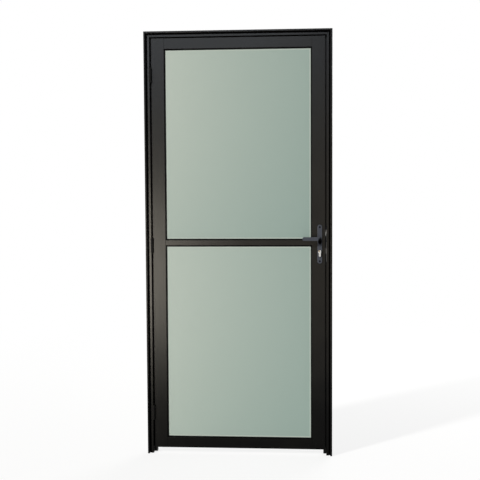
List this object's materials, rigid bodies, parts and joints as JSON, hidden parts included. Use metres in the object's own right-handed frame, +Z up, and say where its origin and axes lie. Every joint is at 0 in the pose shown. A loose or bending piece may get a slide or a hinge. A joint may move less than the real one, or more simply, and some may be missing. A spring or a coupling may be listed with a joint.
{
  "type": "hinged glass door with frame",
  "caption": "Hinged glazed door: slim dark metal leaf with upper and lower glass panes, mid rail, butt hinges and lever lock, hung in its own frame with cover trims.",
  "frame": {"origin": "on the floor, midway between the jambs, in the middle plane of the closed leaf", "axes": "+X to the lock side, +Y away from the side that the door opens to, +Z up"},
  "size_m": [0.93, 0.12, 2.115],
  "materials": {
    "frame_metal": "matt near-black powder coat",
    "trim_metal": "matt near-black powder coat",
    "leaf_metal": "matt near-black powder coat",
    "bead_metal": "matt near-black powder coat",
    "inner_metal": "bare cast",
    "seal_rubber": "matt",
    "gasket_rubber": "matt",
    "pane_glass": "grey-green tint, cloudy",
    "block_plastic": "moulded",
    "hinge_metal": "satin black",
    "screw_steel": "dark plated",
    "handle_metal": "matt dark grey",
    "lock_steel": "satin",
    "cylinder_chrome": "satin nickel"
  },
  "bodies": {
    "frame": {"hinge_jamb": "frame_metal", "lock_jamb": "frame_metal", "head_jamb": "frame_metal", "hinge_side_trim": "trim_metal", "lock_side_trim": "trim_metal", "head_trim": "trim_metal", "hinge_side_seal": "seal_rubber", "lock_side_seal": "seal_rubber", "head_seal": "seal_rubber", "corner_cleats": "inner_metal", "strike_plate": "lock_steel", "strike_screws": "screw_steel", "bottom_hinge_frame_leaf": "hinge_metal", "middle_hinge_frame_leaf": "hinge_metal", "top_hinge_frame_leaf": "hinge_metal", "hinge_frame_screws": "screw_steel", "hinge_pins": "hinge_metal"},
    "leaf": {"hinge_stile": "leaf_metal", "lock_stile": "leaf_metal", "top_rail": "leaf_metal", "mid_rail": "leaf_metal", "bottom_rail": "leaf_metal", "rail_connectors": "inner_metal", "stile_end_caps": "block_plastic", "upper_glass": "pane_glass", "lower_glass": "pane_glass", "setting_blocks": "block_plastic", "bottom_hinge_door_leaf": "hinge_metal", "middle_hinge_door_leaf": "hinge_metal", "top_hinge_door_leaf": "hinge_metal", "hinge_door_screws": "screw_steel", "lock_case": "lock_steel", "lock_faceplate": "lock_steel", "faceplate_screws": "screw_steel", "cylinder_screw": "screw_steel", "cylinder_body": "cylinder_chrome", "front_plate": "handle_metal", "back_plate": "handle_metal", "plate_screws": "screw_steel", "lower_bottom_bead": "bead_metal", "lower_top_bead": "bead_metal", "lower_hinge_side_bead": "bead_metal", "lower_lock_side_bead": "bead_metal", "upper_bottom_bead": "bead_metal", "upper_top_bead": "bead_metal", "upper_hinge_side_bead": "bead_metal", "upper_lock_side_bead": "bead_metal", "lower_front_gasket": "gasket_rubber", "lower_back_gasket": "gasket_rubber", "upper_front_gasket": "gasket_rubber", "upper_back_gasket": "gasket_rubber"},
    "lever_set": {"front_lever": "handle_metal", "back_lever": "handle_metal", "spindle": "lock_steel", "lock_follower": "lock_steel"},
    "latch": {"latch_bolt": "lock_steel"},
    "bolt": {"dead_bolt": "lock_steel"},
    "key_plug": {"front_plug": "cylinder_chrome", "back_plug": "cylinder_chrome", "cylinder_cam": "cylinder_chrome"}
  },
  "joints": [
    {"name": "leaf_swing", "type": "hinge", "parent": "frame", "child": "leaf", "pos_m": [-0.43275, -0.0225, 1.05], "axis": [0, 0, -1], "range_deg": [0, 170]},
    {"name": "lever_turn", "type": "hinge", "parent": "leaf", "child": "lever_set", "pos_m": [0.4035, 0, 1.0895], "axis": [0, -1, 0], "range_deg": [0, 40], "stiffness_Nm_per_rad": 1.2, "springref_deg": -20.05},
    {"name": "latch_slide", "type": "slide", "parent": "leaf", "child": "latch", "axis": [1, 0, 0], "range_m": [-0.012, 0]},
    {"name": "key_turn", "type": "hinge", "parent": "leaf", "child": "key_plug", "pos_m": [0.4035, 0, 1.0245], "axis": [0, -1, 0], "range_deg": [0, 360]},
    {"name": "bolt_slide", "type": "slide", "parent": "leaf", "child": "bolt", "axis": [1, 0, 0], "range_m": [0, 0.014]}
  ],
  "couplings": [
    {"joint": "latch_slide", "follows": "lever_turn", "m_per_rad": -0.017188},
    {"joint": "key_turn", "follows": "bolt_slide", "rad_per_m": 448.79}
  ]
}
